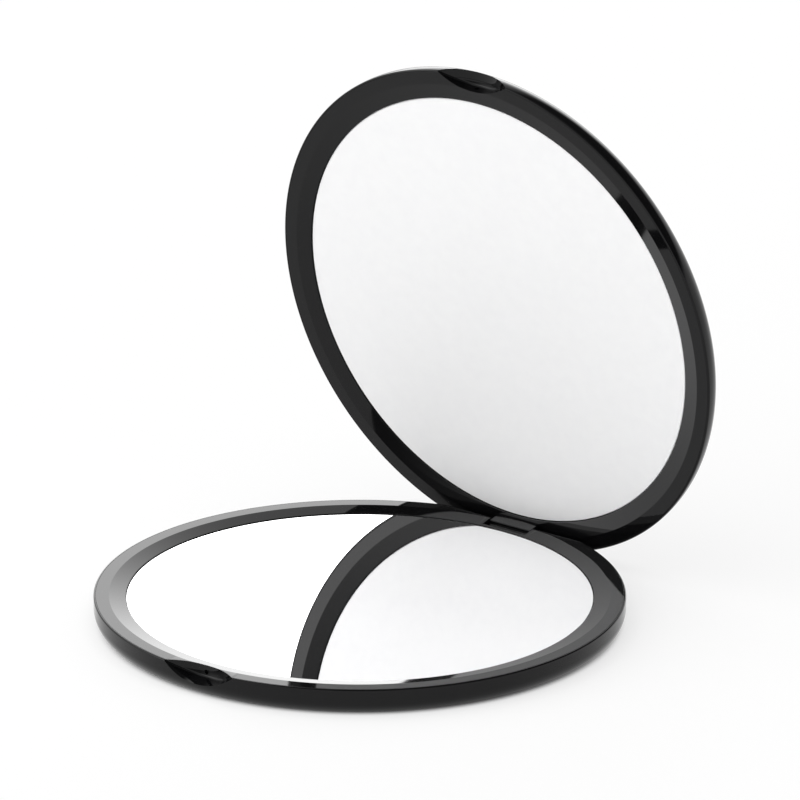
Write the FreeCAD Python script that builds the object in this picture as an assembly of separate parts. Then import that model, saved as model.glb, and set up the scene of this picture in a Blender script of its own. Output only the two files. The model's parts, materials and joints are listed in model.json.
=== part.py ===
import FreeCAD, Part
import math
import os

# Slim round compact mirror. Two thin round halves open like a book on one hinge pin.
# Each half is a shell, a frame pressed into it, a glass disc on tape and two closing magnets.
# Millimetres, +Z up. The origin is the centre of the base's flat underside.
# The hinge is towards +Y and the thumb scoop towards -Y.

V = FreeCAD.Vector

# Overall sizes
outer_diameter = 80.0
half_thickness = 4.2
closed_gap = 0.2
base_edge_round = 2.4
lid_edge_round = 3.7

# Shell
shell_floor = 1.2
shell_wall = 1.5
lip_width = 0.28
lip_round_share = 0.85
inner_fillet_share = 0.5

# Frame
seam = 0.03
flange_thickness = 0.8
land_width = 2.0
land_thickness = 1.0
bevel_width = 2.52
bevel_drop = 0.43
glass_step = 0.12
recess_wall = 0.8
skirt_wall = 0.7

# Mirror glass and its tape
glass_thickness = 1.1
glass_clearance = 0.06
glass_arris = 0.1
tape_thickness = 0.2
tape_margin = 2.5

# Hinge
hinge_inset = 2.7
hinge_drop = 1.85
knuckle_radius = 1.2
lug_width = 7.5
lug_half_thickness = 1.7
lug_front_gap = 0.12
lug_side_gap = 0.25
pin_diameter = 1.2
pin_running_gap = 0.04
pin_seat_gap = 0.01
pin_end_play = 0.1
pin_chamfer = 0.15
ear_length = 4.0
ear_wall = 0.45
ear_end_wall = 0.4
ear_clearance = 0.08
rest_opening_deg = 81.0
full_opening_deg = 135.0

# Thumb scoop
scoop_depth = 2.65
scoop_plan_radius = 11.1
scoop_lip_drop = 2.2
scoop_floor_radius = 10.8
scoop_floor_tilt_deg = 8.4
scoop_fillet = 0.35
scoop_backing = 2.0
gate_diameter = 0.7
gate_depth = 0.5
gate_drop = 1.15

# Closing magnets
magnet_length = 8.0
magnet_clearance = 0.08
magnet_height_share = 0.7
magnet_from_backing = 1.45

# How far every cutting shape runs past what it cuts
overrun = 1.0

# Places worked out from the sizes
outer_radius = outer_diameter / 2
land_z = half_thickness
lip_inner = outer_radius - lip_width
lip_round = lip_width * lip_round_share
shoulder_z = land_z - flange_thickness
cavity_radius = outer_radius - shell_wall
land_outer = lip_inner - seam
bevel_outer = land_outer - land_width
recess_radius = bevel_outer - bevel_width
bevel_foot_z = land_z - bevel_drop
mirror_z = bevel_foot_z - glass_step
tape_z = mirror_z - glass_thickness
seat_z = tape_z - tape_thickness
channel_inner = recess_radius + recess_wall
channel_outer = cavity_radius - seam - skirt_wall
channel_top = land_z - land_thickness
glass_radius = recess_radius - glass_clearance
hinge_y = outer_radius - hinge_inset
hinge_z = land_z - hinge_drop
pin_radius = pin_diameter / 2
lug_half = lug_width / 2
notch_half = lug_half + lug_side_gap
ear_end = notch_half + ear_length
ear_half_depth = pin_radius + ear_wall
lid_land_z = land_z + closed_gap


def turned(edges):
    """Solid of revolution about Z from closed profile edges in the XZ half-plane."""
    return Part.Face(Part.Wire(edges)).revolve(V(0, 0, 0), V(0, 0, 1), 360)


def runs(points):
    """Straight edges through (radius, height) points of a profile."""
    corners = [V(r, 0, z) for r, z in points]
    return [Part.makeLine(a, b) for a, b in zip(corners, corners[1:])]


def quarter(centre_r, centre_z, radius, start_deg):
    """Quarter circle of a profile, counter-clockwise from start_deg."""
    spots = []
    for turn in (0, 45, 90):
        angle = math.radians(start_deg + turn)
        spots.append(V(centre_r + radius * math.cos(angle), 0, centre_z + radius * math.sin(angle)))
    return Part.Arc(*spots).toShape()


def ring(inner, outer, bottom, top):
    """Plain ring about Z."""
    place = V(0, 0, bottom)
    return Part.makeCylinder(outer, top - bottom, place).cut(Part.makeCylinder(inner, top - bottom, place))


def block(x, y, z):
    """Box from three (low, high) pairs."""
    size = [high - low for low, high in (x, y, z)]
    return Part.makeBox(*size, V(x[0], y[0], z[0]))


def rod(radius, left, right):
    """Round bar along X on the hinge axis."""
    return Part.makeCylinder(radius, right - left, V(left, hinge_y, hinge_z), V(1, 0, 0))


def shell_rounds(edge_round):
    """Radii of the shell's outer edge, which ends below the lip, and of the corner inside it."""
    edge = min(edge_round, half_thickness - 2 * lip_round)
    return edge, edge * inner_fillet_share


def shell_blank(edge_round):
    """Dish with a rounded outer edge, a shoulder for the frame and a fine lip round it."""
    edge, fillet = shell_rounds(edge_round)
    lip_r = outer_radius - lip_round
    lip_z = land_z - lip_round
    fillet_r = cavity_radius - fillet
    fillet_z = shell_floor + fillet
    edges = runs([(0, 0), (outer_radius - edge, 0)])
    edges.append(quarter(outer_radius - edge, edge, edge, 270))
    edges += runs([(outer_radius, edge), (outer_radius, lip_z)])
    edges.append(quarter(lip_r, lip_z, lip_round, 0))
    edges += runs([(lip_r, land_z), (lip_inner, land_z), (lip_inner, shoulder_z),
                   (cavity_radius, shoulder_z), (cavity_radius, fillet_z)])
    edges.append(quarter(fillet_r, fillet_z, fillet, 270))
    edges += runs([(fillet_r, shell_floor), (0, shell_floor), (0, 0)])
    return turned(edges)


def frame_blank(edge_round, hinge_backing):
    """Tray with the land, the bevel ring and the mirror seat, hollow under its land."""
    fillet = shell_rounds(edge_round)[1]
    skirt_outer = cavity_radius - seam
    fillet_r = cavity_radius - fillet
    fillet_z = shell_floor + fillet
    edges = runs([(0, shell_floor + seam), (fillet_r, shell_floor + seam)])
    edges.append(quarter(fillet_r, fillet_z, fillet - seam, 270))
    edges += runs([(skirt_outer, fillet_z), (skirt_outer, shoulder_z), (land_outer, shoulder_z),
                   (land_outer, land_z), (bevel_outer, land_z), (recess_radius, bevel_foot_z),
                   (recess_radius, seat_z), (0, seat_z), (0, shell_floor + seam)])
    return turned(edges).cut(frame_channel(hinge_backing))


def frame_channel(hinge_backing):
    """Hollow under the land, left solid behind the scoop and at the hinge."""
    scoop_half = scoop_plan_half() + scoop_backing
    full_height = (-overrun, land_z + overrun)
    channel = ring(channel_inner, channel_outer, 0, channel_top)
    channel = channel.cut(block((-scoop_half, scoop_half), (-outer_radius, 0), full_height))
    return channel.cut(block((-hinge_backing, hinge_backing), (0, outer_radius), full_height))


def scoop_plan_half():
    """Half width of the scoop where its wall meets the outer edge, from two crossing circles."""
    centre = outer_radius - scoop_depth + scoop_plan_radius
    across = (centre ** 2 + outer_radius ** 2 - scoop_plan_radius ** 2) / (2 * centre)
    return math.sqrt(outer_radius ** 2 - across ** 2)


def scoop():
    """Fingertip hollow: an upright round wall, and a round floor that falls away outwards."""
    wall_y = -(outer_radius - scoop_depth + scoop_plan_radius)
    wall_bottom = land_z - 2 * scoop_lip_drop
    wall = Part.makeCylinder(scoop_plan_radius, land_z + overrun - wall_bottom, V(0, wall_y, wall_bottom))
    tilt = math.radians(scoop_floor_tilt_deg)
    along = V(0, math.cos(tilt), math.sin(tilt))
    start = V(0, -outer_radius, land_z - scoop_lip_drop + scoop_floor_radius) - along * scoop_plan_radius
    floor = Part.makeCylinder(scoop_floor_radius, 2 * scoop_plan_radius, start, along)
    hollow = wall.common(floor)
    corner = [edge for edge in hollow.Edges if is_scoop_corner(edge)]
    return hollow.makeFillet(scoop_fillet, corner)


def is_scoop_corner(edge):
    """True for the edge where the scoop's wall meets its floor, on the side of the mirror."""
    middle = edge.valueAt((edge.FirstParameter + edge.LastParameter) / 2)
    inside = middle.y > -(outer_radius - scoop_depth / 2)
    return inside and middle.z < land_z


def gate_mark():
    """Small round dimple in the middle of the scoop's wall."""
    wall_y = -(outer_radius - scoop_depth)
    return Part.makeCylinder(gate_diameter / 2, gate_depth + overrun,
                             V(0, wall_y - overrun, land_z - gate_drop), V(0, 1, 0))


def notch():
    """Gap through the base's rim in which the lid's lug turns."""
    front = hinge_y - lug_half_thickness - lug_front_gap
    return block((-notch_half, notch_half), (front, outer_radius + overrun), (-overrun, land_z + overrun))


def back_relief():
    """What is cut from the base's back so that the lid's land can turn past it.

    The base ends in a nose round the hinge axis, tangent to its land, and then in a flat
    that the lid's land lies along when the compact is fully open.
    """
    nose = hinge_drop
    stop = math.radians(full_opening_deg - 90)
    turn = (math.pi / 2 - stop) / 2
    top = V(0, hinge_y, hinge_z + nose)
    middle = V(0, hinge_y + nose * math.cos(turn), hinge_z + nose * math.sin(turn))
    foot = V(0, hinge_y + nose * math.cos(stop), hinge_z - nose * math.sin(stop))
    flat = V(0, -math.sin(stop), -math.cos(stop)) * (half_thickness / math.cos(stop))
    below = foot + flat
    far = outer_radius + overrun
    high = land_z + overrun
    corners = [foot, below, V(0, far, below.z), V(0, far, high), V(0, hinge_y, high), top]
    edges = [Part.Arc(top, middle, foot).toShape()]
    edges += [Part.makeLine(a, b) for a, b in zip(corners, corners[1:])]
    section = Part.Face(Part.Wire(edges))
    section.translate(V(-outer_radius, 0, 0))
    return section.extrude(V(outer_diameter, 0, 0))


def both_sides(shape):
    """A shape and its mirror image across the YZ plane, as one."""
    return shape.fuse(shape.mirror(V(0, 0, 0), V(1, 0, 0)))


def hinge_ears():
    """Two posts on the base shell's floor, one on each side of the notch."""
    across = (hinge_y - ear_half_depth, hinge_y + ear_half_depth)
    return both_sides(block((notch_half, ear_end), across, (shell_floor / 2, hinge_z + pin_radius)))


def pin_channels():
    """Open channels in the ears, round at the bottom and closed at the outer end."""
    start = notch_half - overrun
    end = ear_end - ear_end_wall
    seat = pin_radius + pin_seat_gap
    slot = block((start, end), (hinge_y - seat, hinge_y + seat), (hinge_z, hinge_z + pin_radius + overrun))
    return both_sides(slot.fuse(rod(seat, start, end)))


def ear_pockets():
    """Room for the ears under the base frame, whose ceiling keeps the pin in its channels."""
    reach = ear_half_depth + ear_clearance
    pocket = block((notch_half - overrun, ear_end + ear_clearance), (hinge_y - reach, hinge_y + reach),
                   (-overrun, hinge_z + pin_radius + seam))
    return both_sides(pocket)


def hinge_lug():
    """Tongue on the lid's frame: a flat-sided root that ends square, and a round knuckle for the pin."""
    root = lid_land_z + (land_z - mirror_z + flange_thickness) / 2
    across = (hinge_y - lug_half_thickness, hinge_y + lug_half_thickness)
    tongue = block((-lug_half, lug_half), across, (hinge_z, root))
    return tongue.fuse(rod(knuckle_radius, -lug_half, lug_half))


def glass():
    """Mirror disc with a fine arris round its face."""
    return turned(runs([(0, tape_z), (glass_radius, tape_z), (glass_radius, mirror_z - glass_arris),
                        (glass_radius - glass_arris, mirror_z), (0, mirror_z), (0, tape_z)]))


def tape():
    """Disc of double-sided tape between the glass and its seat."""
    return Part.makeCylinder(glass_radius - tape_margin, tape_thickness, V(0, 0, seat_z))


def magnet_turn_deg():
    """Turn of a magnet from the scoop that keeps its inner corner clear of the scoop's backing."""
    half = magnet_length / 2
    inner = channel_inner + magnet_clearance
    reach = scoop_plan_half() + scoop_backing + magnet_from_backing
    return math.degrees(math.asin(reach / math.hypot(inner, half)) + math.atan2(half, inner))


def magnets():
    """Two bar magnets in the hollow under the land, one on each side of the scoop."""
    half = magnet_length / 2
    inner = channel_inner + magnet_clearance
    outer = math.sqrt(channel_outer ** 2 - half ** 2) - magnet_clearance
    height = (channel_top - shell_floor) * magnet_height_share
    bars = []
    for side in (-1, 1):
        bar = block((-half, half), (-outer, -inner), (channel_top - height, channel_top))
        bar.rotate(V(0, 0, 0), V(0, 0, 1), side * magnet_turn_deg())
        bars.append(bar)
    return Part.Compound(bars)


def hinge_pin():
    """Plain steel pin with chamfered ends."""
    end = ear_end - ear_end_wall - pin_end_play
    pin = rod(pin_radius, -end, end)
    rims = [edge for edge in pin.Edges if abs(abs(edge.CenterOfMass.x) - end) < pin_chamfer / 2]
    return pin.makeChamfer(pin_chamfer, rims)


def closed_lid(shape):
    """Turn a half over and set it on the base, lands facing."""
    shape.rotate(V(0, 0, 0), V(0, 1, 0), 180)
    shape.translate(V(0, 0, land_z + lid_land_z))
    return shape


def opened(shape):
    """Swing a piece of the closed lid up to its resting angle."""
    shape.rotate(V(0, hinge_y, hinge_z), V(-1, 0, 0), rest_opening_deg)
    return shape


def base_shell():
    dish = shell_blank(base_edge_round).fuse(hinge_ears()).cut(pin_channels())
    return dish.cut(scoop()).cut(notch()).cut(back_relief())


def base_frame():
    tray = frame_blank(base_edge_round, ear_end + ear_wall)
    tray = tray.cut(scoop()).cut(gate_mark())
    return tray.cut(notch()).cut(ear_pockets()).cut(back_relief())


def lid_shell():
    return shell_blank(lid_edge_round).cut(scoop())


def lid_frame():
    tray = frame_blank(lid_edge_round, lug_half + ear_wall).cut(scoop()).cut(gate_mark())
    tray = closed_lid(tray).fuse(hinge_lug()).removeSplitter()
    return tray.cut(rod(pin_radius + pin_running_gap, -notch_half, notch_half))


def assembly():
    """Every node of the compact by name, standing open."""
    return {
        "base_shell": base_shell(),
        "base_frame": base_frame(),
        "base_mirror": glass(),
        "base_mirror_tape": tape(),
        "base_magnets": magnets(),
        "hinge_pin": hinge_pin(),
        "lid_shell": opened(closed_lid(lid_shell())),
        "lid_frame": opened(lid_frame()),
        "lid_mirror": opened(closed_lid(glass())),
        "lid_mirror_tape": opened(closed_lid(tape())),
        "lid_magnets": opened(closed_lid(magnets())),
    }


os.makedirs("parts", exist_ok=True)
for name, shape in assembly().items():
    shape.exportStep("parts/" + name + ".step")
    print(name, "solids", len(shape.Solids), "volume", round(shape.Volume, 2), "valid", shape.isValid())
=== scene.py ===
# %% [markdown]
# # A folding pocket mirror in gloss black
# The object is a slim round compact: two black halves on one hinge pin, each with a round glass.
# Its looks depend on reflections. Gloss black plastic has almost no colour of its own, so what the
# eye sees is the shape of every edge and what the studio puts in front of it.
# The CAD model gives every place and size. It is loaded first and never moved.

# %% Load the frame
import json
import math

import bmesh
import bpy
import numpy as np
from mathutils import Matrix, Vector


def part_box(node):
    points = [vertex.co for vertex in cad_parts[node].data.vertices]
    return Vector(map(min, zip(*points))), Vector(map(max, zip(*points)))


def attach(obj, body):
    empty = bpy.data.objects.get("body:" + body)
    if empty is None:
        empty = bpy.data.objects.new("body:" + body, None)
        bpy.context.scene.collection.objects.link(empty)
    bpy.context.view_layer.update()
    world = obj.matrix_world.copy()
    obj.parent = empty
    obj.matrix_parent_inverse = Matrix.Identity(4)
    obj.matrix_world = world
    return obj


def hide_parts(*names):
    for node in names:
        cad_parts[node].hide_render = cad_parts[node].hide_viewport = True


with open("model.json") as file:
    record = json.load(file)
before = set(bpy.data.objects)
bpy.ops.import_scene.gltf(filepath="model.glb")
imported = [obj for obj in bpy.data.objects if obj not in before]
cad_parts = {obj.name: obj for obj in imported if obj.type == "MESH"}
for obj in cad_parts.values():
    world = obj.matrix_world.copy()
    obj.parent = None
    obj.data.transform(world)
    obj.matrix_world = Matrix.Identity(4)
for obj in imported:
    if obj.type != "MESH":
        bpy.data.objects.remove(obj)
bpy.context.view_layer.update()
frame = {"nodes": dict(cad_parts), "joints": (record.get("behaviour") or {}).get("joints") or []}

print("nodes:", sorted(frame["nodes"]))

# %% [markdown]
# ## Sizes
# Shapes are worked out in millimetres, because a compact's rims and gaps are fractions of one. The last
# step of each piece scales its mesh to metres. What the frame can tell is read from it: the rim, the
# land, the glass and the hinge.

# %% Sizes from the frame
MM = 0.001


def corners_mm(node):
    """Lowest and highest corner of a CAD node, in millimetres to a hundredth."""
    low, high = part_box(node)
    return np.round(np.array(low) / MM, 2), np.round(np.array(high) / MM, 2)


shell_high = corners_mm("base_shell")[1]
frame_high = corners_mm("base_frame")[1]
glass_low, glass_high = corners_mm("base_mirror")

outer_radius = shell_high[0]
land_z = shell_high[2]
land_outer = frame_high[0]
glass_radius = glass_high[0]
glass_back_z, mirror_z = glass_low[2], glass_high[2]

joint = frame["joints"][0]
hinge_y, hinge_z = np.array(joint["pos_m"])[1:] / MM
rest_opening = math.radians(-joint["range_deg"][0])
full_opening = math.radians(joint["range_deg"][1] - joint["range_deg"][0])

print("outer radius", outer_radius, "land height", land_z, "glass radius", glass_radius)
print("hinge axis at y", hinge_y, "z", hinge_z, "rest opening", math.degrees(rest_opening))

# %% [markdown]
# A bounding box can't show walls, bevels and rounds, so these are named here. Such thin mouldings have
# walls of a little over a millimetre. The lip, the seam and the fine rounds are fractions of one, which
# is just enough to catch a line of light or to draw a dark one.

# %% Sizes of the walls, the bevel and the edges
closed_gap = 0.2
base_edge_round = 2.4
lid_edge_round = 3.7
shell_floor = 1.2
shell_wall = 1.5
lip_width = 0.28
lip_round_share = 0.85
fine_round = 0.05
inner_fillet_share = 0.5
seam = 0.03
flange_thickness = 0.8
land_width = 2.0
bevel_width = 2.52
bevel_drop = 0.43
bevel_round = 0.3
foot_round = 0.11
glass_arris = 0.1
tape_thickness = 0.2

lip_inner = outer_radius - lip_width
lip_round = lip_width * lip_round_share
shoulder_z = land_z - flange_thickness
cavity_radius = outer_radius - shell_wall
bevel_outer = land_outer - land_width
recess_radius = bevel_outer - bevel_width
seat_z = glass_back_z - tape_thickness
lid_land_z = land_z + closed_gap
print("bevel from radius", round(bevel_outer, 2), "to", round(recess_radius, 2))
print("land at height", land_z, "glass at", mirror_z, "its seat at", round(seat_z, 2))

# %% [markdown]
# ## Turned surfaces
# Shells, frames and glasses are all turned shapes: an outline carried once round the vertical axis.
# A Screw modifier would do, but a grid worked out with numpy keeps each arc under control. Every corner
# of an outline has its own radius, because a real moulded edge is never perfectly sharp, and the thin
# glint on it is what tells polished plastic from a flat graphic.

# %% Outlines and grids
AROUND = 720
ARC_STEP = math.radians(7.5)


def unit(vectors):
    """Vectors of length one along the last axis."""
    return vectors / np.linalg.norm(vectors, axis=-1, keepdims=True)


def arc(centre, radius, start, end):
    """Points on a circle, centre + radius (cos, sin), evenly turned from one angle to another."""
    count = max(2, int(abs(end - start) / ARC_STEP) + 1)
    turn = np.linspace(start, end, count)
    return np.asarray(centre) + radius * np.stack([np.cos(turn), np.sin(turn)], 1)


def rounded(corners):
    """Outline through (across, up, round) corners, each an arc tangent to both of its sides.

    The arc's centre lies on the corner's bisector at radius / sin(half the corner's angle), and the arc
    turns from the normal of one side to the normal of the other, the short way.
    """
    points = np.array([corner[:2] for corner in corners], float)
    back = unit(np.roll(points, 1, 0) - points)
    ahead = unit(np.roll(points, -1, 0) - points)
    half = np.arccos(np.clip((back * ahead).sum(1), -1, 1)) / 2
    parts = []
    for corner, point, a, b, angle in zip(corners, points, back, ahead, half):
        radius = corner[2]
        if radius == 0:
            parts.append(point[None])
            continue
        centre = point + unit(a + b) * radius / math.sin(angle)
        first = point + a * radius / math.tan(angle) - centre
        last = point + b * radius / math.tan(angle) - centre
        start = math.atan2(first[1], first[0])
        sweep = math.remainder(math.atan2(last[1], last[0]) - start, 2 * math.pi)
        parts.append(arc(centre, radius, start, start + sweep))
    return np.concatenate(parts)


def turned(outline, around=AROUND):
    """Grid of an outline of (radius, height) carried round Z: x = r cos(t), y = r sin(t), z = height."""
    turn = np.linspace(0, 2 * math.pi, around, endpoint=False)
    radius, height = outline[:, 0, None], outline[:, 1, None]
    flat = np.ones_like(turn)
    return np.stack([radius * np.cos(turn), radius * np.sin(turn), height * flat], -1)


rim_error = outer_radius * (1 - math.cos(math.pi / AROUND))
print("a turned rim departs from a true circle by", round(rim_error, 5), "mm")

# %% [markdown]
# A grid becomes a mesh by joining each point to its neighbours: one quad for every cell, and the last
# column joined to the first. Rows that shrink to one point, on the axis, are merged into a pole. The
# faces are then turned outwards, whichever way the outline ran. A straight piece is made the same way:
# its outline is one row, and the grid has two of them with a flat cap at each end.

# %% From grid to mesh
same_place = 0.002


def tidy(mesh):
    """Merges poles, seams and slivers of a closed surface and turns its faces outwards."""
    work = bmesh.new()
    work.from_mesh(mesh)
    bmesh.ops.remove_doubles(work, verts=work.verts, dist=same_place)
    bmesh.ops.dissolve_degenerate(work, edges=work.edges, dist=same_place)
    bmesh.ops.recalc_face_normals(work, faces=work.faces)
    work.to_mesh(mesh)
    work.free()


def new_object(name, data):
    """Object for a mesh, a lamp or a camera, linked into the scene."""
    thing = bpy.data.objects.new(name, data)
    bpy.context.scene.collection.objects.link(thing)
    return thing


def piece_from_grid(name, grid, caps=False):
    """Object from a (rows, columns, 3) grid closed round its columns, with flat end caps if asked."""
    rows, columns = grid.shape[:2]
    index = np.arange(rows * columns).reshape(rows, columns)
    beside = np.roll(index, -1, 1)
    quads = np.stack([index[:-1], beside[:-1], beside[1:], index[1:]], -1).reshape(-1, 4)
    faces = quads.tolist()
    if caps:
        faces += [index[0].tolist(), index[-1].tolist()]
    mesh = bpy.data.meshes.new(name)
    mesh.from_pydata(grid.reshape(-1, 3), [], faces)
    tidy(mesh)
    return new_object(name, mesh)


def bar(name, outline, left, right):
    """Prism along X from a closed outline of (y, z) points."""
    ends = np.array([left, right], float)
    grid = np.stack(np.broadcast_arrays(ends[:, None], outline[:, 0], outline[:, 1]), -1)
    return piece_from_grid(name, grid, caps=True)


print("points closer than", same_place, "mm are merged")

# %% [markdown]
# ## The thumb scoop
# A fingertip opens the compact at a hollow in the rim. It is an upright round wall and a round floor
# that falls away outwards, with a small fillet between them. A Bevel modifier could round that corner,
# but along a cut of two curved surfaces it makes ripples that gloss black would show. So the fillet is
# worked out as the path of a ball that rolls along touching both: the ball's centre keeps its own radius
# away from the wall and from the floor. The hollow is one solid plug, and it is cut from both halves.

# %% Scoop plug
overrun = 1.0
scoop_depth = 2.65
scoop_plan_radius = 11.1
scoop_lip_drop = 2.2
scoop_floor_radius = 10.8
scoop_floor_tilt = math.radians(8.4)
scoop_fillet = 0.35
level_share = 0.8
scoop_wall_y = -(outer_radius - scoop_depth + scoop_plan_radius)
scoop_axis = np.array([0, -outer_radius, land_z - scoop_lip_drop + scoop_floor_radius])
scoop_along = np.array([0, math.cos(scoop_floor_tilt), math.sin(scoop_floor_tilt)])


def floor_height(x, y, radius):
    """Height of a tilted round trough: its axis rises with y, and the trough hangs a radius below it.

    Past a share of the radius, which lies well outside the rim, the trough runs on level.
    """
    rise = (y - scoop_axis[1]) * math.tan(scoop_floor_tilt)
    side = np.clip(x, -level_share * radius, level_share * radius)
    return scoop_axis[2] + rise - np.sqrt(radius ** 2 - side ** 2) / math.cos(scoop_floor_tilt)


def scoop_plug(around=240, fillet_rows=12, floor_rows=24):
    """Grid of the hollow's skin, from a pole above it over the wall, fillet and floor to a pole below.

    One column stands in one direction from the wall's axis. The fillet swings from the wall's outward
    direction to the floor's, by an even turn between two unit vectors about the ball's centre.
    """
    turn = np.linspace(0, 2 * math.pi, around, endpoint=False)
    out = np.stack([np.sin(turn), np.cos(turn), 0 * turn], -1)
    ball = out * (scoop_plan_radius - scoop_fillet) + [0, scoop_wall_y, 0]
    ball[:, 2] = floor_height(ball[:, 0], ball[:, 1], scoop_floor_radius - scoop_fillet)
    away = ball - scoop_axis
    reach = level_share * scoop_floor_radius
    away[:, 0] = np.clip(away[:, 0], -reach, reach)
    down = unit(away - (away @ scoop_along)[:, None] * scoop_along)
    angle = np.arccos((out * down).sum(1))[:, None]
    share = np.linspace(0, 1, fillet_rows)[:, None, None]
    swing = (np.sin((1 - share) * angle) * out + np.sin(share * angle) * down) / np.sin(angle)
    fillet = ball + scoop_fillet * swing
    rim = fillet[0].copy()
    rim[:, 2] = np.maximum(land_z, rim[:, 2]) + overrun
    inward = np.linspace(0, 1, floor_rows)[1:, None, None]
    floor = fillet[-1] * (1 - inward) + np.array([0, scoop_wall_y, 0]) * inward
    floor[..., 2] = floor_height(floor[..., 0], floor[..., 1], scoop_floor_radius)
    top = np.broadcast_to([0, scoop_wall_y, land_z + overrun], rim.shape)
    return np.concatenate([top[None], rim[None], fillet, floor])


print("scoop plug, rows and columns:", scoop_plug().shape[:2])

# %% [markdown]
# In the middle of the scoop's wall is a small round dimple, such as the gate of a mould leaves. It is a
# short turned pin laid on its side, with a fine round at its end.

# %% Gate mark
gate_radius = 0.35
gate_depth = 0.5
gate_drop = 1.15
gate_around = 48


def gate_plug():
    """Grid of the dimple: a pin turned about Z, then laid along Y with its end in the scoop's wall."""
    end = gate_depth + overrun
    outline = rounded([(0, 0, 0), (gate_radius, 0, 0), (gate_radius, end, fine_round), (0, end, 0)])
    x, y, z = np.moveaxis(turned(outline, gate_around), -1, 0)
    return np.stack([x, z - outer_radius + scoop_depth - overrun, land_z - gate_drop - y], -1)


print("gate mark, rows and columns:", gate_plug().shape[:2])

# %% [markdown]
# ## The hinge
# The lid carries one flat lug that turns in a notch of the base. Behind the notch the base ends in a
# rounded nose about the hinge pin, then in a flat, so that the lid's land can pass when it swings back
# and has something to stop on. These are straight prisms along the pin, so each is one outline and two
# ends.

# %% Notch, nose and lug outlines
knuckle_radius = 1.2
lug_half_thickness = 1.7
lug_front_gap = 0.12
lug_edge_round = 0.12
lug_half = 3.75
lug_side_gap = 0.25
pin_bore_radius = 0.64
mirror_depth = land_z - mirror_z
notch_half = lug_half + lug_side_gap
notch_front = hinge_y - lug_half_thickness - lug_front_gap
lug_root = lid_land_z + (mirror_depth + flange_thickness) / 2


def notch_outline():
    """Rectangle in the YZ plane that runs out through the back, the top and the bottom of the base."""
    far, low, high = outer_radius + overrun, -overrun, land_z + overrun
    return np.array([(notch_front, low), (far, low), (far, high), (notch_front, high)])


def relief_outline():
    """What leaves the base's back: beyond an arc about the pin, and then beyond its tangent flat."""
    nose = land_z - hinge_z
    stop = full_opening - math.pi / 2
    curve = arc((hinge_y, hinge_z), nose, math.pi / 2, -stop)
    fall = np.array([-math.sin(stop), -math.cos(stop)]) * land_z / math.cos(stop)
    below = curve[-1] + fall
    far, high = outer_radius + overrun, land_z + overrun
    return np.concatenate([curve, [below, (far, below[1]), (far, high), (hinge_y, high)]])


def lug_outline():
    """Tongue with straight sides that end square at the pin, and a half-round end about the pin."""
    knuckle = [(y, z, 0) for y, z in arc((hinge_y, hinge_z), knuckle_radius, -math.pi, 0)]
    front, rear = hinge_y - lug_half_thickness, hinge_y + lug_half_thickness
    return rounded(knuckle + [(rear, hinge_z, lug_edge_round), (rear, lug_root, 0),
                              (front, lug_root, 0), (front, hinge_z, lug_edge_round)])


print("notch", 2 * notch_half, "wide, from y", round(notch_front, 2), "out to the rim")

# %% [markdown]
# ## Cutting
# A Boolean modifier joins or cuts two closed meshes. It could stay live, but each cut here is applied at
# once and its cutter deleted, so that the piece that is left is a plain mesh. The slivers that a cut
# leaves are merged.

# %% Boolean helpers


def settled(piece):
    """Replaces a piece's mesh by what its modifiers make of it."""
    shape = piece.evaluated_get(bpy.context.evaluated_depsgraph_get())
    done = bpy.data.meshes.new_from_object(shape)
    old = piece.data
    piece.modifiers.clear()
    piece.data = done
    done.name = piece.name
    bpy.data.meshes.remove(old)


def carve(piece, tool, operation="DIFFERENCE"):
    """Cuts a closed tool from a piece, or joins it with operation UNION, and deletes the tool."""
    boolean = piece.modifiers.new("cut", "BOOLEAN")
    boolean.object, boolean.operation, boolean.solver = tool, operation, "EXACT"
    settled(piece)
    tidy(piece.data)
    bpy.data.objects.remove(tool)
    return piece


# %% [markdown]
# ## Closing and opening the lid
# The lid's pieces are made lying on their backs, as the base's are. They are turned over onto the base,
# where the pin has a known place, and then swung up. An empty at the pin could carry them, but a finished
# piece stays at the origin, unturned, so it is the points of its mesh that are moved.

# %% Placing the lid


def close_lid(piece):
    """Turns a half over about Y and sets it on the base, lands facing."""
    lift = Matrix.Translation((0, 0, land_z + lid_land_z))
    piece.data.transform(lift @ Matrix.Rotation(math.pi, 4, "Y"))


def open_lid(piece):
    """Swings a piece of the closed lid up to its resting angle about the hinge pin."""
    pin = Matrix.Translation((0, hinge_y, hinge_z))
    piece.data.transform(pin @ Matrix.Rotation(-rest_opening, 4, "X") @ pin.inverted())


print("the lid rests open by", round(math.degrees(rest_opening), 1), "degrees")

# %% [markdown]
# ## Shading
# The many-sided faces along a cut are split into triangles here, because two neighbours with three
# points in a row could otherwise both cut off the same needle. The quads stay, because they
# shade more evenly. Smooth shading then needs two things. Edges that turn by more than a few degrees are
# marked sharp, and normals are weighted by face area, so that a large flat face stays optically flat
# right up to a tiny rounded edge.

# %% Splitting, shading and dressing a piece
SHARP = math.radians(11)
MOST_CORNERS = 4


def split_many_sided(mesh):
    """Splits the faces with more than four corners into triangles, each edge shared by two faces."""
    work = bmesh.new()
    work.from_mesh(mesh)
    many = [face for face in work.faces if len(face.verts) > MOST_CORNERS]
    bmesh.ops.triangulate(work, faces=many)
    work.to_mesh(mesh)
    work.free()


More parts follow.
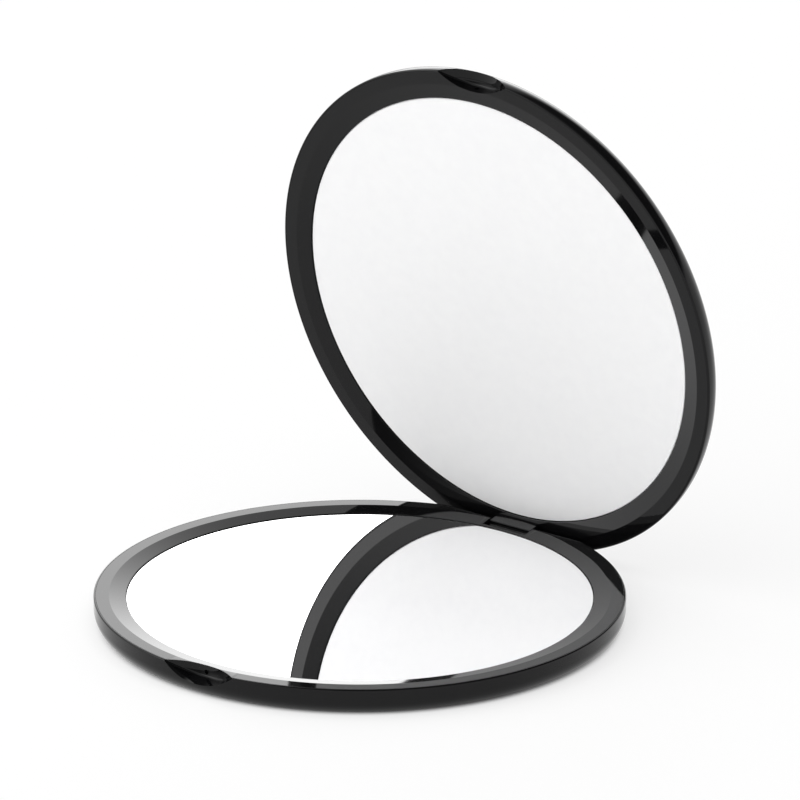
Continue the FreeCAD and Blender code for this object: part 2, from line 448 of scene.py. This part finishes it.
def dress(piece, body, node, material):
    """Scales a piece to metres, shades it, gives it its body, slot and finish, and hides its CAD node."""
    mesh = piece.data
    split_many_sided(mesh)
    mesh.transform(Matrix.Scale(MM, 4))
    mesh.shade_smooth()
    mesh.set_sharp_from_angle(angle=SHARP)
    weighted = piece.modifiers.new("normals", "WEIGHTED_NORMAL")
    weighted.keep_sharp = True
    mesh.materials.clear()
    mesh.materials.append(material)
    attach(piece, body)
    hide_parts(node)
    print(piece.name, "faces", len(mesh.polygons))


print("edges are sharp above", round(math.degrees(SHARP)), "degrees")

# %% [markdown]
# ## Under the land
# Nobody sees this while the compact is whole, but a mesh that someone takes apart should have it. The
# frame is hollow under its land, where the closing magnets sit, and solid behind the scoop and at the
# hinge. The hollow is a turned ring, from which two blocks are cut before it is cut from the frame.

# %% Hollow under the land
land_thickness = 1.0
recess_wall = 0.8
skirt_wall = 0.7
scoop_backing = 2.0


def box_outline(y, z):
    """Rectangle in the YZ plane from (low, high) pairs."""
    return np.array([(y[0], z[0]), (y[1], z[0]), (y[1], z[1]), (y[0], z[1])])


def scoop_plan_half():
    """Half width of the scoop at the outer edge, where its wall's circle crosses the rim's circle."""
    across = (scoop_wall_y ** 2 + outer_radius ** 2 - scoop_plan_radius ** 2) / (-2 * scoop_wall_y)
    return math.sqrt(outer_radius ** 2 - across ** 2)


def hollow(hinge_backing):
    """Ring under the land, of rectangular section, less what stays solid at the scoop and the hinge."""
    inner, outer = recess_radius + recess_wall, cavity_radius - seam - skirt_wall
    top = land_z - land_thickness
    section = np.array([(inner, 0), (outer, 0), (outer, top), (inner, top), (inner, 0)])
    groove = piece_from_grid("groove", turned(section))
    tall = (-overrun, land_z + overrun)
    half = scoop_plan_half() + scoop_backing
    carve(groove, bar("scoop_backing", box_outline((-outer_radius, 0), tall), -half, half))
    return carve(groove, bar("hinge_backing", box_outline((0, outer_radius), tall),
                             -hinge_backing, hinge_backing))


print("scoop", round(2 * scoop_plan_half(), 2), "mm wide at the rim")

# %% [markdown]
# The base shell has two posts, the ears, one on each side of the notch. The pin lies in open channels on
# top of them, and the frame's land keeps it down. Posts, channels and the frame's pockets for them are
# prisms along the pin, each made on one side and mirrored by its ends alone.

# %% Ears and channels
ear_length = 4.0
ear_wall = 0.45
ear_end_wall = 0.4
ear_clearance = 0.08
pin_seat_gap = 0.01

pin_low, pin_high = corners_mm("hinge_pin")
pin_radius = (pin_high[2] - pin_low[2]) / 2
ear_end = notch_half + ear_length
ear_half_depth = pin_radius + ear_wall
ear_top = hinge_z + pin_radius
print("pin radius", round(pin_radius, 2), "ears from x", notch_half, "to", ear_end)


def pin_slot_outline():
    """Channel in the YZ plane: a half circle below the pin, and straight sides up past the ear's top."""
    seat = pin_radius + pin_seat_gap
    round_floor = arc((hinge_y, hinge_z), seat, -math.pi, 0)
    high = ear_top + overrun
    return np.concatenate([round_floor, [(hinge_y + seat, high), (hinge_y - seat, high)]])


def about_pin(reach):
    """A stretch along Y, centred on the pin."""
    return hinge_y - reach, hinge_y + reach


def on_both_sides(left, right):
    """A stretch along X and its mirror image."""
    return (left, right), (-right, -left)


# %% [markdown]
# ## Finishes
# Each material starts from what the real one is. Colours are written as sRGB hex values, as a designer
# would pick them, and one function turns them to the linear numbers that the renderer works with. One
# small function adds a node, with its settings and its links, so that a material reads as a list.

# %% Colour and node helpers


def linear(code):
    """Linear RGBA of an sRGB hex colour, by the sRGB curve.

    A dark channel is divided by 12.92. Any other is (channel + 0.055) / 1.055 to the power of 2.4.
    """
    channels = np.array([int(code[i:i + 2], 16) for i in (1, 3, 5)]) / 255
    values = np.where(channels <= 0.04045, channels / 12.92, ((channels + 0.055) / 1.055) ** 2.4)
    return (*values.tolist(), 1.0)


def add(tree, kind, settings=None, *sources, **links):
    """Adds a node, sets its properties or sockets by name, and feeds its sockets.

    Sources feed the sockets in their order, as outputs of other nodes or as values, for a node whose
    sockets share one name. Links feed sockets by name.
    """
    node = tree.nodes.new(kind)
    for key, value in (settings or {}).items():
        if hasattr(node, key):
            setattr(node, key, value)
        else:
            node.inputs[key].default_value = value
    for socket, source in zip(node.inputs, sources):
        if isinstance(source, bpy.types.NodeSocket):
            tree.links.new(source, socket)
        else:
            socket.default_value = source
    for name, output in links.items():
        tree.links.new(output, node.inputs[name.replace("_", " ")])
    return node


def new_material(name):
    """Empty node material, its tree, and its Object coordinates."""
    material = bpy.data.materials.new(name)
    material.use_nodes = True
    tree = material.node_tree
    tree.nodes.clear()
    place = add(tree, "ShaderNodeTexCoord").outputs["Object"]
    return material, tree, place


def surface(tree, shader):
    """Links a shader to a new material output."""
    add(tree, "ShaderNodeOutputMaterial", Surface=shader.outputs[0])


def per_metre(size_mm):
    """Texture scale, in repeats per metre, of a pattern whose features are size_mm wide."""
    return 1 / (size_mm * MM)


print("a middle grey, #808080, is", round(linear("#808080")[0], 3), "in linear light")

# %% [markdown]
# ### Polished black ABS
# Both shells and frames are moulded ABS from a mirror-polished tool. Its black is deep, its gloss almost
# a mirror at a low angle. What a fingertip would find is a very slight waviness from the flow of the
# plastic, far too shallow to see except as a change in how crisp a reflection is.

# %% Polished black ABS
flow_mm = 9


def polished_abs():
    """Near-black dielectric whose roughness drifts with the flow of the moulding."""
    material, tree, place = new_material("polished_black_abs")
    flow = add(tree, "ShaderNodeTexNoise", {"Scale": per_metre(flow_mm), "Detail": 3.0}, Vector=place)
    gloss = add(tree, "ShaderNodeMapRange", {"To Min": 0.02, "To Max": 0.06}, Value=flow.outputs[0])
    shader = add(tree, "ShaderNodeBsdfPrincipled",
                 {"Base Color": linear("#0A0A0B"), "IOR": 1.54, "Specular IOR Level": 0.2},
                 Roughness=gloss.outputs[0])
    surface(tree, shader)
    return material


abs_plastic = polished_abs()
print(abs_plastic.name, "from", len(abs_plastic.node_tree.nodes), "nodes")

# %% [markdown]
# ### Silvered glass
# A mirror is float glass with a silver coat on its back. It is made here as a bright metal, which is how
# the eye reads it, and not as two refracting surfaces. The upper glass is softer: it shows a milky,
# faintly mottled white and no sharp image, as under the film that a new mirror is sold with. There only
# a share of the light is thrown back as from metal, and the rest is scattered by the film.

# %% Silvered glass


def silvered_glass(name, silver_share, clearest, haziest, mottle_mm):
    """Bright metal, a share of which shows through a milky film, in a faint mottle of tint and haze."""
    material, tree, place = new_material(name)
    mottle = add(tree, "ShaderNodeTexNoise", {"Scale": per_metre(mottle_mm), "Detail": 2.0},
                 Vector=place)
    haze = add(tree, "ShaderNodeMapRange", {"To Min": clearest, "To Max": haziest},
               Value=mottle.outputs[0])
    tint = add(tree, "ShaderNodeValToRGB", Fac=mottle.outputs[0])
    tint.color_ramp.elements[0].color = linear("#F7F7F8")
    tint.color_ramp.elements[1].color = linear("#FFFFFF")
    shader = add(tree, "ShaderNodeBsdfPrincipled", {"Metallic": silver_share},
                 Base_Color=tint.outputs[0], Roughness=haze.outputs[0])
    surface(tree, shader)
    return material


clear_mirror = silvered_glass("silvered_float_glass", silver_share=1.0,
                              clearest=0.0, haziest=0.02, mottle_mm=20)
soft_mirror = silvered_glass("satin_silvered_glass", silver_share=0.2,
                             clearest=0.46, haziest=0.6, mottle_mm=2.2)
print("mirrors:", clear_mirror.name, soft_mirror.name)

# %% [markdown]
# ### Steel, nickel and foam
# The pin is drawn wire, which is left with fine streaks along its length. The magnets are plated, with
# an even, slightly warm nickel. The tape is white foam with pores. Scratches and dirt could be added, but
# all three are hidden in the case, so one plain pattern for each is enough.

# %% Steel, nickel and foam
pore_mm = 0.4
pore_depth_mm = 0.1


def drawn_steel(name, colour, streak_mm, along):
    """Metal with fine streaks along its length, drawn coarser than the real ones so that they show."""
    material, tree, place = new_material(name)
    stretch = add(tree, "ShaderNodeMapping", {"Scale": along}, Vector=place)
    streak = add(tree, "ShaderNodeTexNoise", {"Scale": per_metre(streak_mm), "Detail": 4.0},
                 Vector=stretch.outputs[0])
    gloss = add(tree, "ShaderNodeMapRange", {"To Min": 0.15, "To Max": 0.4}, Value=streak.outputs[0])
    shader = add(tree, "ShaderNodeBsdfPrincipled",
                 {"Base Color": linear(colour), "Metallic": 1.0}, Roughness=gloss.outputs[0])
    surface(tree, shader)
    return material


def foam_tape():
    """White closed-cell foam with fine pores."""
    material, tree, place = new_material("foam_tape")
    pores = add(tree, "ShaderNodeTexVoronoi", {"Scale": per_metre(pore_mm)}, Vector=place)
    dent = add(tree, "ShaderNodeBump", {"Strength": 0.4, "Distance": pore_depth_mm * MM},
               Height=pores.outputs[0])
    shade = add(tree, "ShaderNodeValToRGB", Fac=pores.outputs[0])
    shade.color_ramp.elements[0].color = linear("#D9D8D2")
    shade.color_ramp.elements[1].color = linear("#EFEEEA")
    shader = add(tree, "ShaderNodeBsdfPrincipled", {"Roughness": 0.8},
                 Base_Color=shade.outputs[0], Normal=dent.outputs[0])
    surface(tree, shader)
    return material


pin_steel = drawn_steel("drawn_stainless_steel", "#C9CACC", streak_mm=0.15, along=(0.05, 1, 1))
nickel = drawn_steel("nickel_plated_magnet", "#C4C2BC", streak_mm=0.3, along=(1, 1, 1))
tape_foam = foam_tape()
print("materials:", sorted(m.name for m in bpy.data.materials))

# %% [markdown]
# ## The shells
# Each shell is a shallow dish. The base has the crisper outer edge, the lid a long soft one. A fine lip
# stands round the frame, and the dark line between them is the seam where the frame is pressed in. The
# base's shell is turned first. Its ears are joined to it, and the scoop, the notch and the nose are cut.

# %% Base shell


def shell_outline(edge_round):
    """Outline of a dish from its underside's centre, over the edge and lip, to its floor's centre."""
    return rounded([
        (0, 0, 0), (outer_radius, 0, edge_round), (outer_radius, land_z, lip_round),
        (lip_inner, land_z, 0), (lip_inner, shoulder_z, 0), (cavity_radius, shoulder_z, 0),
        (cavity_radius, shell_floor, edge_round * inner_fillet_share), (0, shell_floor, 0)])


base_shell = piece_from_grid("base_outer_shell", turned(shell_outline(base_edge_round)))
ear_outline = box_outline(about_pin(ear_half_depth), (shell_floor / 2, ear_top))
for stretch in on_both_sides(notch_half, ear_end):
    carve(base_shell, bar("ear", ear_outline, *stretch), "UNION")
for stretch in on_both_sides(notch_half - overrun, ear_end - ear_end_wall):
    carve(base_shell, bar("pin_slot", pin_slot_outline(), *stretch))
carve(base_shell, piece_from_grid("scoop", scoop_plug()))
carve(base_shell, bar("notch", notch_outline(), -notch_half, notch_half))
carve(base_shell, bar("relief", relief_outline(), -outer_radius, outer_radius))
dress(base_shell, "base", "base_shell", abs_plastic)

# %% [markdown]
# The lid's shell is made lying on its back, as the base's is, so that the same plug cuts its scoop. Then
# it is turned over onto the base and swung up about the pin to the angle of the photo.

# %% Lid shell
lid_shell = piece_from_grid("lid_outer_shell", turned(shell_outline(lid_edge_round)))
carve(lid_shell, piece_from_grid("scoop", scoop_plug()))
close_lid(lid_shell)
open_lid(lid_shell)
dress(lid_shell, "lid", "lid_shell", abs_plastic)

# %% [markdown]
# ## The frames
# The frame is a tray pressed into the shell. It carries the flat land that meets the other half, a wide
# bevel that falls to the glass, and the seat under the glass. The land's and the bevel's edges are arcs
# in the turned outline and not a Bevel modifier, so that each has its own radius.

# %% Base frame


def frame_outline(edge_round):
    """Outline of a tray from its underside's centre, over the land and bevel, to its seat's centre."""
    skirt = cavity_radius - seam
    low = shell_floor + seam
    return rounded([
        (0, low, 0), (skirt, low, edge_round * inner_fillet_share), (skirt, shoulder_z, 0),
        (land_outer, shoulder_z, 0), (land_outer, land_z, fine_round),
        (bevel_outer, land_z, bevel_round), (recess_radius, land_z - bevel_drop, foot_round),
        (recess_radius, seat_z, 0), (0, seat_z, 0)])


base_frame = piece_from_grid("base_inner_frame", turned(frame_outline(base_edge_round)))
carve(base_frame, hollow(ear_end + ear_wall))
pocket_outline = box_outline(about_pin(ear_half_depth + ear_clearance), (-overrun, ear_top + seam))
for stretch in on_both_sides(notch_half - overrun, ear_end + ear_clearance):
    carve(base_frame, bar("ear_pocket", pocket_outline, *stretch))
carve(base_frame, piece_from_grid("scoop", scoop_plug()))
carve(base_frame, piece_from_grid("gate", gate_plug()))
carve(base_frame, bar("notch", notch_outline(), -notch_half, notch_half))
carve(base_frame, bar("relief", relief_outline(), -outer_radius, outer_radius))
dress(base_frame, "base", "base_frame", abs_plastic)

# %% [markdown]
# The lid's frame also carries the hinge lug. The lug is joined while the lid lies shut on the base,
# where the pin's place is known, and is bored for the pin before the lid swings up.

# %% Lid frame
lid_frame = piece_from_grid("lid_inner_frame", turned(frame_outline(lid_edge_round)))
carve(lid_frame, hollow(lug_half + ear_wall))
carve(lid_frame, piece_from_grid("scoop", scoop_plug()))
carve(lid_frame, piece_from_grid("gate", gate_plug()))
close_lid(lid_frame)
carve(lid_frame, bar("lug", lug_outline(), -lug_half, lug_half), "UNION")
bore = arc((hinge_y, hinge_z), pin_bore_radius, 0, 2 * math.pi)[:-1]
carve(lid_frame, bar("bore", bore, -notch_half, notch_half))
open_lid(lid_frame)
dress(lid_frame, "lid", "lid_frame", abs_plastic)

# %% [markdown]
# ## The glasses
# Each mirror is a disc of glass, held by tape on the frame's seat. Its cut edge is ground to a small
# flat, the arris, so that it can't cut a finger. A cylinder with a bevel would do, but the same turned
# outline keeps its rim in step with the bevel round it.

# %% Glasses


def glass_outline():
    """Outline of a disc with a small flat ground off its front edge."""
    return rounded([
        (0, glass_back_z, 0), (glass_radius, glass_back_z, 0),
        (glass_radius, mirror_z - glass_arris, 0), (glass_radius - glass_arris, mirror_z, 0),
        (0, mirror_z, 0)])


base_mirror = piece_from_grid("base_mirror_disc", turned(glass_outline()))
dress(base_mirror, "base", "base_mirror", clear_mirror)

lid_mirror = piece_from_grid("lid_mirror_disc", turned(glass_outline()))
close_lid(lid_mirror)
open_lid(lid_mirror)
dress(lid_mirror, "lid", "lid_mirror", soft_mirror)

# %% [markdown]
# ## What the case hides
# The pin, the magnets and the tape are plain shapes that the CAD model already has right. They could be
# built again as the rest is, but nothing would look better for it, so they only get their finishes.

# %% Finishes on the hidden CAD pieces
hidden_finishes = {"hinge_pin": pin_steel, "base_magnets": nickel, "lid_magnets": nickel,
                   "base_mirror_tape": tape_foam, "lid_mirror_tape": tape_foam}
for node, finish in hidden_finishes.items():
    mesh = frame["nodes"][node].data
    mesh.materials.clear()
    mesh.materials.append(finish)
    print(node, "in", finish.name)

# %% [markdown]
# ## Camera
# The photo was taken, or drawn, with a very long lens, so the compact looks almost flat in perspective.
# Azimuth, elevation and distance come from the shapes of its circles, which show as ellipses. A camera
# could be turned by hand until the picture fits, but an angle and a distance are easier to correct.

# %% Camera
camera_azimuth = math.radians(37.63)
camera_elevation = math.radians(20.58)
camera_target = Vector((0, 9.871, 32.346)) * MM
camera_distance = 4.159
camera_lens = 1247.4
camera_sensor = 36
camera_sight = 100


def direction(azimuth, elevation):
    """Unit vector away from the object: azimuth from the front to the right, elevation from the floor.

    Along the floor it is cos(elevation) long, and its height is sin(elevation).
    """
    level = math.cos(elevation)
    return Vector((math.sin(azimuth) * level, -math.cos(azimuth) * level, math.sin(elevation)))


camera_data = bpy.data.cameras.new("camera")
camera_data.lens, camera_data.sensor_width = camera_lens, camera_sensor
camera_data.clip_end = camera_sight
camera = new_object("camera", camera_data)
back = direction(camera_azimuth, camera_elevation)
camera.location = camera_target + back * camera_distance
camera.rotation_euler = (-back).to_track_quat("-Z", "Y").to_euler()
bpy.context.scene.camera = camera
print("camera at", [round(place, 3) for place in camera.location], "m")

# %% [markdown]
# ## Studio
# Gloss black shows the whole studio. A white floor and a white horizon fill the sides and the lid's
# frame, and a ceiling that is dim above and towards the back right gives the black lines along the
# edges. Real floors in such pictures are lit paper: here part of the paper is plain white to the camera
# and in reflections, so that it stays white and still takes the compact's shadow. Right round the base's
# edge that white is taken away, which is a painted contact shadow laid over the paper's real one.

# %% Floor
SMOOTH = {"interpolation_type": "SMOOTHSTEP"}
floor_radius = 8.0
floor_sides = 96
white_share = 0.7
# Painted contact shade: within this radius the floor's white glow is off, and it rises to full at
# white_beyond.
contact_shade_within = 37.8
white_beyond = 40.0


def floor_material():
    """Matt white paper, part of which is plain white to the camera and in reflections.

    The share of plain white lightens the shadow and never removes it. Under the base, and in a thin
    ring just outside its edge, the share falls to nothing by distance from the middle. The dark there
    is the paper's real shadow, but the ring that lets it show is painted contact shade set by place.
    """
    material, tree, place = new_material("white_paper_floor")
    paper = add(tree, "ShaderNodeBsdfPrincipled",
                {"Base Color": linear("#F6F6F6"), "Roughness": 1.0, "Specular IOR Level": 0.0})
    white = add(tree, "ShaderNodeEmission", {"Color": linear("#FFFFFF"), "Strength": 1.0})
    rays = add(tree, "ShaderNodeLightPath").outputs
    seen = rays["Is Camera Ray"]
    for other in ("Is Glossy Ray", "Is Transmission Ray"):
        seen = add(tree, "ShaderNodeMath", {"operation": "MAXIMUM"}, seen, rays[other]).outputs[0]
    away = add(tree, "ShaderNodeVectorMath", {"operation": "LENGTH"}, Vector=place)
    # Painted contact shade: the white glow fades out by distance from the base's middle, so the floor,
    # and its reflection in the base's lower edge, shows darker right round the base.
    ring = {"From Min": contact_shade_within * MM, "From Max": white_beyond * MM, "To Max": white_share}
    clear = add(tree, "ShaderNodeMapRange", {**SMOOTH, **ring}, Value=away.outputs["Value"])
    share = add(tree, "ShaderNodeMath", {"operation": "MULTIPLY"}, seen, clear.outputs[0])
    mix = add(tree, "ShaderNodeMixShader", {}, share.outputs[0], paper.outputs[0], white.outputs[0])
    surface(tree, mix)
    return material


floor_rim = turned(np.array([(floor_radius, 0)]), floor_sides)[0]
floor_mesh = bpy.data.meshes.new("floor")
floor_mesh.from_pydata(floor_rim, [], [list(range(floor_sides))])
floor_mesh.materials.append(floor_material())
floor = new_object("floor", floor_mesh)
print("floor", 2 * floor_radius, "m across, dark within", contact_shade_within, "mm of the base's middle")

# %% [markdown]
# The world is the studio's far walls. They are white at the horizon and dim above, and the dim part
# comes lower at the right and the back. An image of a real studio would do the same, but a formula keeps
# the gradients clean and easy to change.

# %% World
dim_lean = (1.7, 0.4, 0.0)
horizon = {"From Min": 0.3, "From Max": 0.6, "To Min": 1.0, "To Max": 0.08}
ceiling_panel = {"From Min": 0.8, "From Max": 0.95, "To Max": 0.35}


def studio_world():
    """White at the horizon, falling smoothly to a dim ceiling with a faint panel overhead.

    A direction's height is z (1 + lean . direction), so the dim part comes lower on the side that the
    lean points to, here the right and the back.
    """
    world = bpy.data.worlds.new("studio")
    world.use_nodes = True
    tree = world.node_tree
    tree.nodes.clear()
    place = add(tree, "ShaderNodeTexCoord").outputs["Generated"]
    up = add(tree, "ShaderNodeSeparateXYZ", Vector=place).outputs["Z"]
    lean = add(tree, "ShaderNodeVectorMath", {"operation": "DOT_PRODUCT"}, place, dim_lean)
    height = add(tree, "ShaderNodeMath", {"operation": "MULTIPLY_ADD"}, lean.outputs["Value"], up, up)
    level = add(tree, "ShaderNodeMapRange", {**SMOOTH, **horizon}, Value=height.outputs[0])
    panel = add(tree, "ShaderNodeMapRange", {**SMOOTH, **ceiling_panel}, Value=up)
    both = add(tree, "ShaderNodeMath", {"operation": "MAXIMUM"}, level.outputs[0], panel.outputs[0])
    light = add(tree, "ShaderNodeBackground", {"Color": linear("#FFFFFF")}, Strength=both.outputs[0])
    add(tree, "ShaderNodeOutputWorld", Surface=light.outputs[0])
    bpy.context.scene.world = world


studio_world()
print("world:", bpy.context.scene.world.name, "white at the horizon, dim towards", dim_lean)

# %% [markdown]
# Three soft boxes light the compact. The one at the back left is what the base's land and bevel mirror
# as a silver sheen. The one at the front left lights the milky upper glass, and the one at the left lifts
# the lid's bevel out of its land. Bare area lamps would show as hard rectangles in the plastic, so the
# light of each falls off smoothly towards its edges, as through a wide diffuser.

# %% Soft boxes
aim_height = 0.03
lamp_middle = 0.5


def fade_edges(data):
    """Lets a lamp's light fall smoothly from its middle to nothing at its edges.

    The share is the product, over both sides, of a smooth step on the distance from the middle.
    """
    data.use_nodes = True
    tree = data.node_tree
    tree.nodes.clear()
    place = add(tree, "ShaderNodeNewGeometry").outputs["Parametric"]
    fades = []
    for axis in ("X", "Y"):
        along = add(tree, "ShaderNodeSeparateXYZ", Vector=place).outputs[axis]
        off = add(tree, "ShaderNodeMath", {"operation": "SUBTRACT"}, along, lamp_middle)
        away = add(tree, "ShaderNodeMath", {"operation": "ABSOLUTE"}, off.outputs[0])
        fall = {"From Max": lamp_middle, "To Min": 1.0, "To Max": 0.0}
        fade = add(tree, "ShaderNodeMapRange", {**SMOOTH, **fall}, Value=away.outputs[0])
        fades.append(fade.outputs[0])
    share = add(tree, "ShaderNodeMath", {"operation": "MULTIPLY"}, *fades)
    light = add(tree, "ShaderNodeEmission", Strength=share.outputs[0])
    add(tree, "ShaderNodeOutputLight", Surface=light.outputs[0])


def soft_box(name, azimuth_deg, elevation_deg, distance, width, height, radiance):
    """Area lamp that faces the object from a direction. Its power is radiance x area x pi."""
    data = bpy.data.lights.new(name, "AREA")
    data.shape, data.size, data.size_y = "RECTANGLE", width, height
    data.energy = radiance * width * height * math.pi
    fade_edges(data)
    way = direction(math.radians(azimuth_deg), math.radians(elevation_deg))
    lamp = new_object(name, data)
    lamp.location = Vector((0, 0, aim_height)) + way * distance
    lamp.rotation_euler = way.to_track_quat("Z", "Y").to_euler()
    lamp.visible_camera = False
    print(name, "of", round(data.energy), "W")


soft_box("back_left_soft_box", azimuth_deg=215, elevation_deg=11, distance=3.1,
         width=3.6, height=3.4, radiance=2.9)
soft_box("front_left_soft_box", azimuth_deg=-42, elevation_deg=8, distance=2.5,
         width=2.6, height=2.0, radiance=3.5)
soft_box("left_soft_box", azimuth_deg=-72, elevation_deg=29, distance=2.5,
         width=2.2, height=1.9, radiance=1.4)

# %% [markdown]
# A wide diffuser overhead gives the floor its soft shadow. A sun lamp with a large angle does that with
# little noise. It is hidden from reflections, because a bright disc in the black plastic would look like
# a lamp and not like a studio. The Standard view transform then shows each tone as it was mixed.

# %% Overhead diffuser
sun_height = 1.0


def overhead_diffuser(strength, spread_deg):
    """Wide, soft light from straight above that falls on matt surfaces only."""
    data = bpy.data.lights.new("overhead_diffuser", "SUN")
    data.energy = strength
    data.angle = math.radians(spread_deg)
    lamp = new_object("overhead_diffuser", data)
    lamp.location = (0, 0, sun_height)
    lamp.visible_glossy = False


overhead_diffuser(strength=1.5, spread_deg=70)
bpy.context.scene.view_settings.view_transform = "Standard"
print("lamps:", sorted(lamp.name for lamp in bpy.data.lights))
